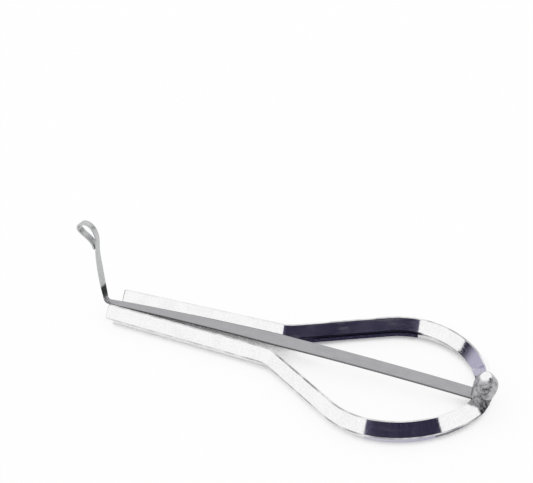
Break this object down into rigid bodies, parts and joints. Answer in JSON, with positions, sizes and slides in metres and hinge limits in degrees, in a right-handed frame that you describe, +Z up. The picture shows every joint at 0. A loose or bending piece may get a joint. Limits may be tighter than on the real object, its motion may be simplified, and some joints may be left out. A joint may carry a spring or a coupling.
{
  "type": "jaw harp",
  "caption": "Small jaw harp: a diamond-section steel bar bent to a pear-shaped bow with two long arms, and a sprung steel reed between them that turns up into a trigger with an eye.",
  "frame": {"origin": "on the frame's flat underside, in the middle of the crown, where the reed is staked", "axes": "+X from the arms' ends to the head, +Y across the arms, +Z up, the way that the trigger points"},
  "size_m": [0.0961, 0.0372, 0.0239],
  "materials": {
    "plated_steel": "bright plating on steel bar",
    "spring_steel": "dull grey rolled spring strip"
  },
  "bodies": {
    "body": {"frame": "plated_steel", "reed_root": "spring_steel"},
    "blade": {"reed_blade": "spring_steel"},
    "shank": {"reed_shank": "spring_steel"},
    "tip": {"reed_tip": "spring_steel"}
  },
  "joints": [
    {"name": "reed_flex", "type": "hinge", "parent": "body", "child": "blade", "pos_m": [-0.0173, 0, 0.00351], "axis": [0, 1, 0], "range_deg": [-5.5, 5.5], "stiffness_Nm_per_rad": 0.42},
    {"name": "shank_flex", "type": "hinge", "parent": "blade", "child": "shank", "pos_m": [-0.04455, 0, 0.00403], "axis": [0, 1, 0], "range_deg": [-3.3, 3.3]},
    {"name": "tip_flex", "type": "hinge", "parent": "shank", "child": "tip", "pos_m": [-0.07505, 0, 0.00351], "axis": [0, 1, 0], "range_deg": [-1.1, 1.1]}
  ],
  "couplings": [
    {"joint": "shank_flex", "follows": "reed_flex", "ratio": 0.6},
    {"joint": "tip_flex", "follows": "reed_flex", "ratio": 0.2}
  ]
}
